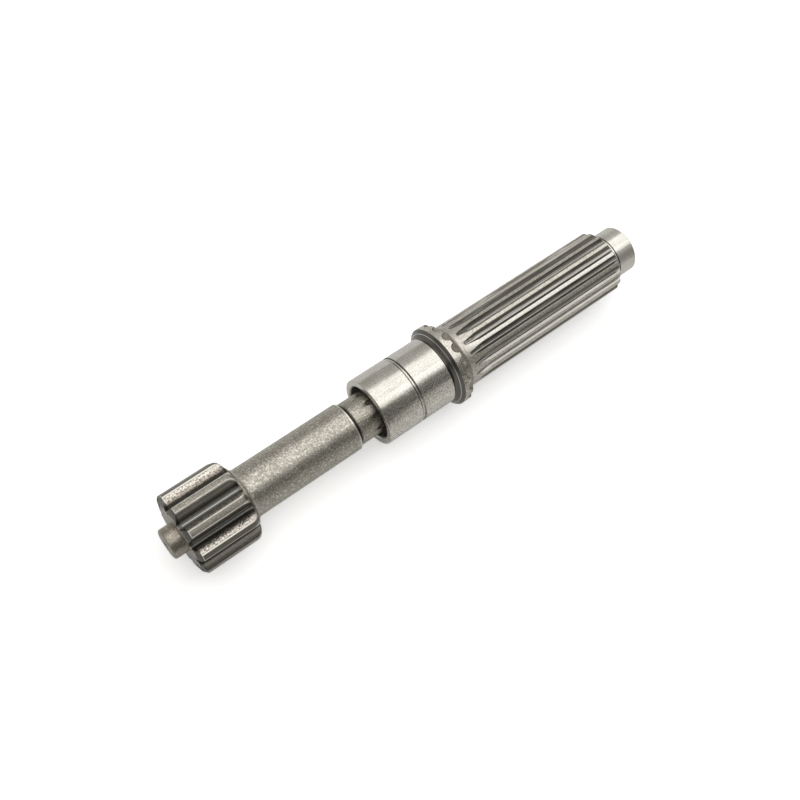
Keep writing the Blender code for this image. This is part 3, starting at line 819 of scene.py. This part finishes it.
def blasted_steel():
    """Shot-blasted steel of the sun gear shaft, with painted shade between its teeth."""
    steel = ShaftFinish("blasted_steel_finish", BLASTED_CLOUD_SIZE, BLASTED_CLOUD_LEVELS,
                        BLASTED_DULL, BLASTED_PALE)
    station, radius = steel.station, steel.radius
    teeth = SunGearZones(steel)
    stub = steel.ramp(station, STUB_LENGTH, STUB_LENGTH - EDGE_BREAK)
    front_face = 1 - steel.ramp(station, STUB_LENGTH - EDGE_BREAK, STUB_LENGTH + EDGE_BREAK)
    front_face = front_face * steel.ramp(radius, STUB_RADIUS, STUB_RADIUS + EDGE_BREAK)
    hub_corner = steel.between(station, GEAR_END - 3 * EDGE_BREAK, GEAR_END + HUB_LENGTH,
                               EDGE_BREAK)
    # The stem's end edge, which gets a painted highlight
    stem_edge = steel.between(station, STEM_END - STEM_CHAMFER - STEM_EDGE_WIDTH,
                              STEM_END - STEM_CHAMFER, EDGE_BREAK / 2)
    groove = steel.between(station, STEM_END - 2 * EDGE_BREAK, STEM_END + NECK_GROOVE_WIDTH,
                           EDGE_BREAK)
    neck = steel.ramp(station, STEM_END, STEM_END + NECK_GROOVE_WIDTH)
    # The neck's gaps, lightened as painted light against the shade in them
    neck_gaps = neck * (1 - steel.ramp(radius, NECK_RADIUS - 4 * EDGE_BREAK,
                                       NECK_RADIUS - EDGE_BREAK))

    steel.paint(LAND_BROWN, teeth.land, strength=0.35)
    steel.paint(STUB_BROWN, stub, strength=0.85)
    steel.paint(NECK_BROWN, neck, strength=0.3)
    steel.paint(BLASTED_PIT, steel.ramp(steel.grain, *PIT_GRAINS))
    steel.paint(BLASTED_PEAK, steel.ramp(steel.grain, *PEAK_GRAINS))
    # Painted shade on the smooth flanks
    steel.paint(SMOOTH_FLANK_SHADE, teeth.smooth_flank, strength=0.9)
    # Painted shade on the teeth turned towards the near side and beyond the top
    steel.paint(SHADED_TOOTH_BROWN, teeth.turned_away, strength=0.85)
    # Bright grain on the rough flanks, left off the underside as painted shade
    flank_peaks = teeth.rough_flank * steel.ramp(steel.grain, *FLANK_PEAK_GRAINS)
    steel.paint(ROUGH_FLANK_PEAK, flank_peaks, strength=0.85)
    # Painted shade in the roots of the gaps
    steel.paint(GEAR_ROOT_SHADE, teeth.root)
    # A painted highlight along the middle of each root
    steel.paint(GEAR_ROOT_HIGHLIGHT_GREY, teeth.root_highlight, strength=0.6)
    # Painted shade on the gear's chamfers
    steel.paint(PAINTED_SHADE_BLACK, teeth.chamfer, strength=0.9)
    # Painted highlights on the land edges and the stem's end, and painted light in the neck's
    # gaps
    painted_highlight = steel.strongest(teeth.painted_highlight, stem_edge, neck_gaps)
    steel.paint(PAINTED_HIGHLIGHT_BRIGHT, painted_highlight, strength=0.6)
    steel.paint(FRONT_FACE_BROWN, front_face, strength=0.5)
    # Darker hub corner: partly its brownish surface, partly painted shade over the bright
    # reflection its rounding catches
    steel.paint(HUB_CORNER_BROWN, hub_corner, strength=0.6)
    # Painted shade in the neck's groove
    steel.paint(NECK_GROOVE_SHADE, groove)

    roughness = BLASTED_ROUGHNESS + steel.clouds * BLASTED_CLOUD_ROUGHNESS
    return steel.finish(roughness, steel.grain * (1 - teeth.smooth_flank * SMOOTH_FLANK_POLISH))


# Ground steel: depths below the outline, turns from the top towards the far side

SPLINE_CUT_DEPTHS = (0.00022, 0.00006)
SPLINE_ROOT_HIGHLIGHT_HALF_WIDTH = 0.00012
LAND_HIGHLIGHT_TURNS = (-0.45, -0.08)
LAND_HIGHLIGHT_BLUR = 0.05
LAND_HIGHLIGHT_RISE = 0.008
COLLAR_FLANK_HIGHLIGHT_DEPTHS = (0.0021, 0.0018)
COLLAR_FLANK_HIGHLIGHT_BLUR = 0.00006
JOURNAL_GROOVE_RIM = 0.0007
COLLAR_SPECKLE_TURNS = (-0.25, -0.65)
JOURNAL_SPECKLE_TURNS = (-0.1, -0.6)
SPECKLE_ABOVE_COLLAR = 0.25
SPECKLE_ABOVE_JOURNALS = 0.3

GROUND_CLOUD_SIZE = 0.007
GROUND_CLOUD_LEVELS = (0.3, 0.7)
LATHE_LINE_SIZE = 0.00012
LATHE_LINE_WANDER = 0.002
GRINDING_STREAK_SIZE = 0.0007
GRINDING_STREAK_STRETCH = 0.03
HOB_LINE_SIZE = 0.0005
HOB_LINE_STRETCH = 0.02
MATTE_PIT_GRAINS = (0.55, 0.36)
HOB_LINE_LEVELS = (0.50, 0.68)
COLLAR_PIT_GRAINS = (0.64, 0.44)
COLLAR_PEAK_GRAINS = (0.56, 0.66)
JOURNAL_PIT_GRAINS = (0.52, 0.40)
JOURNAL_PEAK_GRAINS = (0.52, 0.62)
STREAK_LEVELS = (0.55, 0.42)
COLLAR_MATTING = 0.6
NEAR_CUT_STRENGTH = 0.92
FAR_CUT_LOSS = 0.42
DENT_RIM_STRENGTH = 0.8
GROUND_ROUGHNESS = 0.18
MATTE_ROUGHNESS = 0.18
GROUND_CLOUD_ROUGHNESS = 0.05
BORE_ROUGHNESS = 0.25
STREAK_ROUGHNESS = 0.06
GROUND_GRAIN_HEIGHT = 0.14
LATHE_LINE_HEIGHT = 0.06
STREAK_HEIGHT = 0.35

GROUND_DULL = colour(0.58, 0.56, 0.51)
GROUND_PALE = colour(0.64, 0.63, 0.59)
GROUND_PIT = colour(0.34, 0.31, 0.26)
GROUND_STREAK = colour(0.45, 0.43, 0.39)
MATTE_PALE = colour(0.70, 0.67, 0.61)
LAND_SHADE_BROWN = colour(0.30, 0.28, 0.24)
LAND_HIGHLIGHT_BRIGHT = colour(0.86, 0.84, 0.79)
HOB_CUT_SHADE = colour(0.08, 0.075, 0.065)
HOB_LINE_GREY = colour(0.52, 0.51, 0.48)
SPLINE_ROOT_HIGHLIGHT_GREY = colour(0.60, 0.59, 0.56)
DENT_BROWN = colour(0.22, 0.20, 0.17)
COLLAR_PIT = colour(0.22, 0.20, 0.16)
COLLAR_PEAK = colour(0.84, 0.80, 0.72)
CREASE_SHADE_BLACK = colour(0.03, 0.028, 0.025)
COLLAR_FLANK_HIGHLIGHT_PALE = colour(0.75, 0.74, 0.70)
BORE_GREY = colour(0.46, 0.47, 0.43)
JOURNAL_PEAK = colour(0.86, 0.82, 0.74)


class SplineZones:
    """Masks of the hobbed spline and of the collar that its dents run into."""

    def __init__(self, steel, hobbed):
        station, radius = steel.station, steel.radius
        self.collar = hobbed * (1 - steel.ramp(station, SPLINE_START - EDGE_BREAK, SPLINE_START))
        rim = steel.ramp(radius, COLLAR_RADIUS - 2 * EDGE_BREAK, COLLAR_RADIUS - EDGE_BREAK)
        self.dent = self.collar * (1 - rim)
        self.dent_rim = self.collar * steel.between(
            radius, COLLAR_RADIUS - 3 * EDGE_BREAK, COLLAR_RADIUS - EDGE_BREAK, EDGE_BREAK / 2)

        spline = hobbed * (1 - self.collar)
        self.cut = spline * (1 - steel.ramp(
            radius, *(SPLINE_RADIUS - depth for depth in SPLINE_CUT_DEPTHS)))
        self.root_highlight = spline * steel.middle_of_gaps(
            SPLINE_TEETH, SPLINE_PHASE, SPLINE_ROOT_HIGHLIGHT_HALF_WIDTH, SPLINE_ROOT_RADIUS)
        self.land = spline * (1 - self.cut)
        # Lands in a band of turns, which get a painted highlight where the others get painted
        # shade
        self.land_highlight_band = steel.between(steel.turn, *LAND_HIGHLIGHT_TURNS, LAND_HIGHLIGHT_BLUR) * (
            1 - steel.ramp(station, SPLINE_START + LAND_HIGHLIGHT_RISE, SPLINE_START))
        self.matte = self.land + self.dent + self.collar * rim * COLLAR_MATTING


def ground_steel():
    """Steel of the motor shaft: ground journals, hobbed spline, matte lands, dark bore."""
    steel = ShaftFinish("ground_steel_finish", GROUND_CLOUD_SIZE, GROUND_CLOUD_LEVELS,
                        GROUND_DULL, GROUND_PALE)
    station, radius, turn, grain = steel.station, steel.radius, steel.turn, steel.grain
    lathe_lines = steel.noise(steel.vector(station, turn * LATHE_LINE_WANDER, 0.0),
                              LATHE_LINE_SIZE)
    streaks = steel.noise(steel.vector(station * GRINDING_STREAK_STRETCH,
                                       turn * JOURNAL_RADIUS, 0.0), GRINDING_STREAK_SIZE)
    hob_lines = steel.noise(steel.vector(station * HOB_LINE_STRETCH, turn * SPLINE_RADIUS,
                                         radius), HOB_LINE_SIZE)

    journals = 1 - steel.ramp(station, JOURNAL_2_END - EDGE_BREAK, JOURNAL_2_END)
    past_collar_front = steel.ramp(station, COLLAR_START, COLLAR_START + EDGE_BREAK)
    pilot = steel.ramp(station, PILOT_STEP - EDGE_BREAK, PILOT_STEP + EDGE_BREAK)
    ground = journals + pilot
    bore = journals * (1 - steel.ramp(radius, COUNTERBORE_RADIUS,
                                      COUNTERBORE_RADIUS + EDGE_BREAK))
    collar_flank = (1 - journals) * (1 - past_collar_front)
    collar_flank_highlight = collar_flank * steel.between(
        radius, *(COLLAR_RADIUS - depth for depth in COLLAR_FLANK_HIGHLIGHT_DEPTHS),
        COLLAR_FLANK_HIGHLIGHT_BLUR)
    zones = SplineZones(steel, past_collar_front * (1 - pilot))
    groove_floor = steel.between(station, JOURNAL_GROOVE_START + JOURNAL_GROOVE_RIM,
                                 JOURNAL_2_START - JOURNAL_GROOVE_RIM, EDGE_BREAK)
    groove_rims = (1 - groove_floor) * steel.between(station, JOURNAL_GROOVE_START,
                                                     JOURNAL_2_START, EDGE_BREAK)
    journal_undercut = steel.between(station, JOURNAL_2_END - EDGE_BREAK,
                                     JOURNAL_2_END + 2 * EDGE_BREAK, EDGE_BREAK)
    pilot_undercut = steel.between(station, PILOT_START - PILOT_UNDERCUT_WIDTH, PILOT_START,
                                   EDGE_BREAK)

    steel.paint(MATTE_PALE, zones.matte, strength=0.7)
    steel.paint(GROUND_PIT, zones.matte * steel.ramp(grain, *MATTE_PIT_GRAINS))
    # Painted shade on the lands outside the highlight band, and a painted highlight inside it
    steel.paint(LAND_SHADE_BROWN, zones.land * (1 - zones.land_highlight_band), strength=0.3)
    steel.paint(LAND_HIGHLIGHT_BRIGHT, zones.land * zones.land_highlight_band, strength=0.6)
    # Painted shade in the spline's gaps, lighter on the far side of each tooth
    far_side = steel.far_side_of_teeth(SPLINE_TEETH, SPLINE_PHASE)
    steel.paint(HOB_CUT_SHADE, zones.cut * (NEAR_CUT_STRENGTH - far_side * FAR_CUT_LOSS))
    steel.paint(HOB_LINE_GREY, zones.cut * steel.ramp(hob_lines, *HOB_LINE_LEVELS),
                strength=0.5)
    # A painted highlight along the middle of each root
    steel.paint(SPLINE_ROOT_HIGHLIGHT_GREY, zones.root_highlight, strength=0.5)
    steel.paint(DENT_BROWN, zones.dent, strength=0.7)
    # Grain pits and peaks on the collar, stronger towards the near side
    collar_speckle = zones.collar * (SPECKLE_ABOVE_COLLAR + steel.ramp(turn, *COLLAR_SPECKLE_TURNS)
                                  * (1 - SPECKLE_ABOVE_COLLAR))
    steel.paint(COLLAR_PIT, collar_speckle * steel.ramp(grain, *COLLAR_PIT_GRAINS), strength=0.85)
    steel.paint(COLLAR_PEAK, collar_speckle * steel.ramp(grain, *COLLAR_PEAK_GRAINS), strength=0.6)
    # Painted shade on the collar's front flank
    steel.paint(PAINTED_SHADE_BLACK, collar_flank, strength=0.95)
    # Painted shade in the journal groove's rims, the undercuts and round the dents' rims
    shaded_creases = steel.strongest(groove_rims, journal_undercut, pilot_undercut,
                                    zones.dent_rim * DENT_RIM_STRENGTH)
    steel.paint(CREASE_SHADE_BLACK, shaded_creases)
    # A painted highlight line across the collar's front flank
    steel.paint(COLLAR_FLANK_HIGHLIGHT_PALE, collar_flank_highlight, strength=0.6)
    steel.paint(BORE_GREY, bore, strength=0.9)
    # Grain pits and peaks on the journals, stronger towards the near side
    journal_speckle = journals * (1 - bore) * (
        SPECKLE_ABOVE_JOURNALS + steel.ramp(turn, *JOURNAL_SPECKLE_TURNS) * (1 - SPECKLE_ABOVE_JOURNALS))
    steel.paint(GROUND_PIT, journal_speckle * steel.ramp(grain, *JOURNAL_PIT_GRAINS),
                strength=0.75)
    steel.paint(JOURNAL_PEAK, journal_speckle * steel.ramp(grain, *JOURNAL_PEAK_GRAINS),
                strength=0.8)
    steel.paint(GROUND_STREAK, ground * steel.ramp(streaks, *STREAK_LEVELS), strength=0.35)

    roughness = (GROUND_ROUGHNESS + zones.matte * MATTE_ROUGHNESS
                 + steel.clouds * GROUND_CLOUD_ROUGHNESS + bore * BORE_ROUGHNESS
                 + ground * streaks * STREAK_ROUGHNESS)
    height = grain * (GROUND_GRAIN_HEIGHT + zones.matte * (1 - GROUND_GRAIN_HEIGHT)) + (
        lathe_lines * LATHE_LINE_HEIGHT + streaks * STREAK_HEIGHT) * ground
    return steel.finish(roughness, height)


# The studio: leans are measured from straight up, towards the near side

FLOOR_SIZE = 8.0
FLOOR_ROUGHNESS = 0.9
FLOOR_COLOUR = 0.70
FLOOR_COLOUR_SEEN = 0.95
FLOOR_LIFT = 0.44
FLOOR_LIFT_IN_METAL = 0.10
LAMP_HEIGHT = 1.2
LAMP_START = -0.7
LAMP_END = 2.0
FAR_LAMP_SPAN = (0.13, 1.16)
NEAR_LAMP_SPAN = (-0.42, 0.08)
FAR_LAMP_GLOW = 1.08
NEAR_LAMP_GLOW = 1.26
CAMERA_PLACE = (-0.18557, -0.10675, 0.48349)
CAMERA_TURN = (21.894, -9.280, -37.482)
CAMERA_LENS = 47.7

ROOM_PALE = colour(0.60, 0.59, 0.56)
ROOM_HORIZON = colour(0.43, 0.42, 0.40)
ROOM_DARK = colour(0.17, 0.17, 0.16)
ROOM_DARK_AT_FAR_END = colour(0.36, 0.355, 0.34)
FAR_END_SPAN = (0.42, 0.56)
FAR_END_LEAN = math.radians(18)
DARK_BAND_START = math.radians(25)
DARK_BAND_END = math.radians(88)
DARK_BAND_BLUR = math.radians(6)
DARK_BAND_TAPER = math.radians(22)
DARK_BAND_TAPER_SPAN = (0.15, 0.34)
FAR_WALL_LEANS = (math.radians(-88), math.radians(-52))


def make_floor():
    """A plain pale floor that keeps the shadow, lifted to white for the camera and glass."""
    bpy.ops.object.select_all(action='DESELECT')
    bpy.ops.mesh.primitive_plane_add(size=FLOOR_SIZE, location=(0, 0, 0))
    floor = bpy.context.object
    floor.name = "floor"
    material = bpy.data.materials.new("pale_floor")
    paper = Graph(material)
    shader = paper.tree.nodes['Principled BSDF']
    shader.inputs['Roughness'].default_value = FLOOR_ROUGHNESS
    shader.inputs['Specular IOR Level'].default_value = 0.0
    shader.inputs['Emission Strength'].default_value = 1.0
    seen, through_glass, in_metal = (
        paper.node('ShaderNodeLightPath', output=ray)
        for ray in ('Is Camera Ray', 'Is Transmission Ray', 'Is Glossy Ray'))
    shade = paper.mix(seen, grey(FLOOR_COLOUR), grey(FLOOR_COLOUR_SEEN))
    paper.tree.links.new(shade.socket, shader.inputs['Base Color'])
    lift = paper.mix(in_metal, grey(0), grey(FLOOR_LIFT_IN_METAL))
    lift = paper.mix(seen + through_glass, lift, grey(FLOOR_LIFT))
    paper.tree.links.new(lift.socket, shader.inputs['Emission Color'])
    floor.data.materials.append(material)


def make_world():
    """A room with a dark band on the near side, pale low down and towards the far side."""
    world = bpy.data.worlds.new("studio")
    bpy.context.scene.world = world
    room = Graph(world)
    direction = room.node('ShaderNodeTexCoord', output='Generated')
    x, y, z = (room.node('ShaderNodeSeparateXYZ', None, {0: direction}, output=axis)
               for axis in 'XYZ')
    far_end = room.ramp(x, *FAR_END_SPAN)
    lean = room.maths('ARCTAN2', y * -1.0, z) - far_end * FAR_END_LEAN
    band_end = DARK_BAND_END - room.ramp(x, *DARK_BAND_TAPER_SPAN) * DARK_BAND_TAPER
    dark_band = room.between(lean, DARK_BAND_START, band_end, DARK_BAND_BLUR)
    horizon = room.mix(far_end, ROOM_HORIZON, ROOM_PALE)
    pale = room.mix(room.ramp(lean, *FAR_WALL_LEANS), horizon, ROOM_PALE)
    dark = room.mix(far_end, ROOM_DARK, ROOM_DARK_AT_FAR_END)
    light = room.mix(dark_band, pale, dark)
    seen = room.node('ShaderNodeLightPath', output='Is Camera Ray')
    light = room.mix(seen, light, grey(1))
    room.tree.links.new(light.socket, room.tree.nodes['Background'].inputs['Color'])


def make_lamps():
    """Two long soft panels overhead with a narrow gap between them."""
    for name, (near, far), glow in (("far_lamp", FAR_LAMP_SPAN, FAR_LAMP_GLOW),
                                    ("near_lamp", NEAR_LAMP_SPAN, NEAR_LAMP_GLOW)):
        length, width = LAMP_END - LAMP_START, far - near
        bpy.ops.object.light_add(type='AREA', location=((LAMP_START + LAMP_END) / 2,
                                                        (near + far) / 2, LAMP_HEIGHT))
        lamp = bpy.context.object
        lamp.name = name
        lamp.data.shape = 'RECTANGLE'
        lamp.data.size = length
        lamp.data.size_y = width
        lamp.data.energy = glow * math.pi * length * width


def make_camera():
    """The photograph's camera, fitted to the edges of the shaft."""
    bpy.ops.object.camera_add(location=CAMERA_PLACE,
                              rotation=[math.radians(angle) for angle in CAMERA_TURN])
    camera = bpy.context.object
    camera.data.lens = CAMERA_LENS
    bpy.context.scene.camera = camera


def main():
    bpy.context.scene.view_settings.view_transform = 'Standard'
    coupling = ToothForm(COUPLING_TEETH, COUPLING_MODULE, COUPLING_PRESSURE_ANGLE)
    pieces = (
        (make_sun_gear_shaft(coupling), blasted_steel(), "sun_gear_shaft", "blasted_steel"),
        (make_motor_shaft(coupling), ground_steel(), "motor_shaft", "ground_steel"),
    )
    for piece, material, node, slot in pieces:
        piece.data.materials.append(material)
        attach(piece, "root")
        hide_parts(node)
    make_floor()
    make_world()
    make_lamps()
    make_camera()


main()
